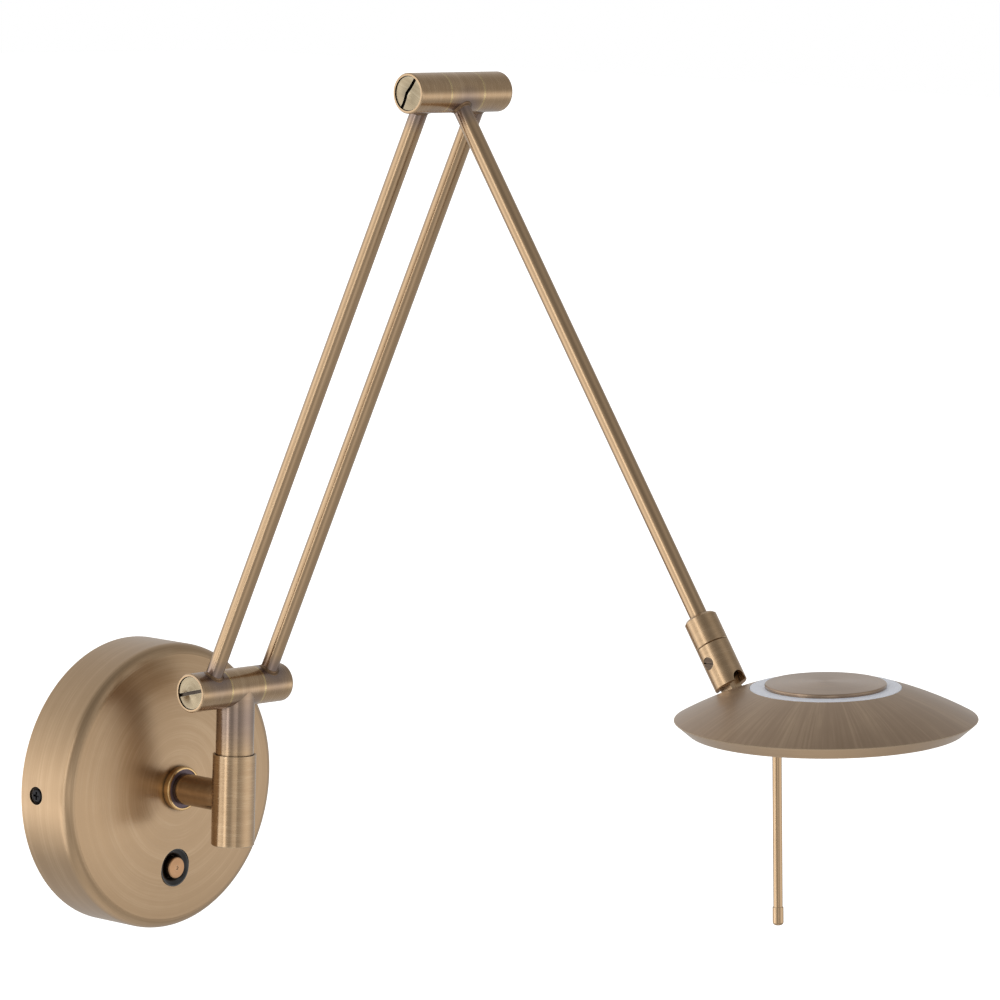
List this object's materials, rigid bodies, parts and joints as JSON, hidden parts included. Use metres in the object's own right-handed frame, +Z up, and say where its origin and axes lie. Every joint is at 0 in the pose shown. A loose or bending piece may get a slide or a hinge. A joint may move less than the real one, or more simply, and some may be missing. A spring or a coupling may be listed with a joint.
{
  "type": "swing arm wall sconce",
  "caption": "Wall reading light with a round cover, a swivelling post, a jointed double and single rod arm, and a flat round head that swivels and tilts.",
  "frame": {"origin": "centre of the wall cover's back, in the wall plane, midway between the bracket's two slots", "axes": "+Z up along the wall, +Y into the wall, so the lamp reaches out along -Y; +X to the right when looking at the wall"},
  "size_m": [0.1205, 0.4355, 0.3646],
  "materials": {
    "antique_brass": "brushed antique brass, satin",
    "antique_brass_rod": "polished antique brass",
    "antique_brass_head": "radially brushed antique brass",
    "pale_brass": "bright brass",
    "steel": "zinc plated",
    "black_screw": "black oxide",
    "black_plastic": "gloss black",
    "white_plastic": "matt white",
    "rubber": "matt",
    "circuit_board": "white solder mask",
    "lead_sheath": "matt white PVC",
    "frosted": "frosted acrylic",
    "aluminium": "machined"
  },
  "bodies": {
    "wall_base": {"canopy_cover": "antique_brass", "wall_bracket": "steel", "cable_grommet": "rubber", "side_screws": "black_screw", "driver_case": "white_plastic", "driver_lid": "white_plastic", "driver_board": "circuit_board", "terminal_block": "white_plastic", "button_bezel": "black_plastic", "switch_nut": "black_plastic", "switch_housing": "black_plastic", "button_boot": "rubber", "boss_collar": "antique_brass", "boss_bush": "black_plastic", "stub_arm": "antique_brass", "stub_nut": "steel", "stub_lead": "lead_sheath", "swivel_sleeve": "antique_brass", "sleeve_cap": "antique_brass", "sleeve_upper_bush": "pale_brass", "sleeve_lower_bush": "pale_brass"},
    "button": {"button_cap": "antique_brass"},
    "post": {"post_tee": "antique_brass", "post_clip": "steel", "post_lead": "lead_sheath", "lower_pivot_bushes": "black_plastic"},
    "lower_arm": {"lower_barrel_left_end": "antique_brass", "lower_barrel_right_end": "antique_brass", "upper_barrel_left_end": "antique_brass", "upper_barrel_right_end": "antique_brass", "pivot_tubes": "pale_brass", "pivot_screws": "pale_brass", "friction_washers": "steel", "spring_washers": "steel", "lower_left_rod": "antique_brass_rod", "lower_right_rod": "antique_brass_rod", "lower_arm_lead": "lead_sheath"},
    "upper_arm": {"upper_barrel_middle": "antique_brass", "upper_pivot_bushes": "black_plastic", "upper_rod": "antique_brass_rod", "upper_arm_lead": "lead_sheath", "knuckle_collar": "antique_brass", "rod_end_bush": "antique_brass"},
    "knuckle": {"knuckle_fork": "antique_brass", "knuckle_clip": "steel", "tilt_screw": "steel"},
    "head": {"head_tongue": "antique_brass", "head_lead": "lead_sheath", "head_top_shell": "antique_brass_head", "head_cap": "antique_brass_head", "cap_screw": "steel", "upper_diffuser": "frosted", "heat_spreader": "aluminium", "lower_led_board": "circuit_board", "upper_led_board": "circuit_board", "lower_bezel": "antique_brass_head", "lower_diffuser": "frosted", "reflector_ring": "white_plastic", "handle_pin": "antique_brass_rod", "handle_tip": "antique_brass_rod"}
  },
  "joints": [
    {"name": "button_push", "type": "slide", "parent": "wall_base", "child": "button", "axis": [0, 1, 0], "range_m": [0, 0.0015], "stiffness_N_per_m": 700, "springref_m": -0.001},
    {"name": "post_swivel", "type": "hinge", "parent": "wall_base", "child": "post", "pos_m": [0, -0.0637, 0], "axis": [0, 0, 1], "range_deg": [-90, 90]},
    {"name": "lower_elbow", "type": "hinge", "parent": "post", "child": "lower_arm", "pos_m": [0, -0.0637, 0.0463], "axis": [1, 0, 0], "range_deg": [-24, 75]},
    {"name": "upper_elbow", "type": "hinge", "parent": "lower_arm", "child": "upper_arm", "pos_m": [0, -0.17757, 0.29662], "axis": [1, 0, 0], "range_deg": [-110, 22]},
    {"name": "head_swivel", "type": "hinge", "parent": "upper_arm", "child": "knuckle", "pos_m": [0, -0.31911, 0.09365], "axis": [0, -0.572, -0.8203], "range_deg": [-160, 150]},
    {"name": "head_tilt", "type": "hinge", "parent": "knuckle", "child": "head", "pos_m": [0, -0.32314, 0.08786], "axis": [0.9948, -0.0835, 0.0582], "range_deg": [-15, 50]}
  ]
}
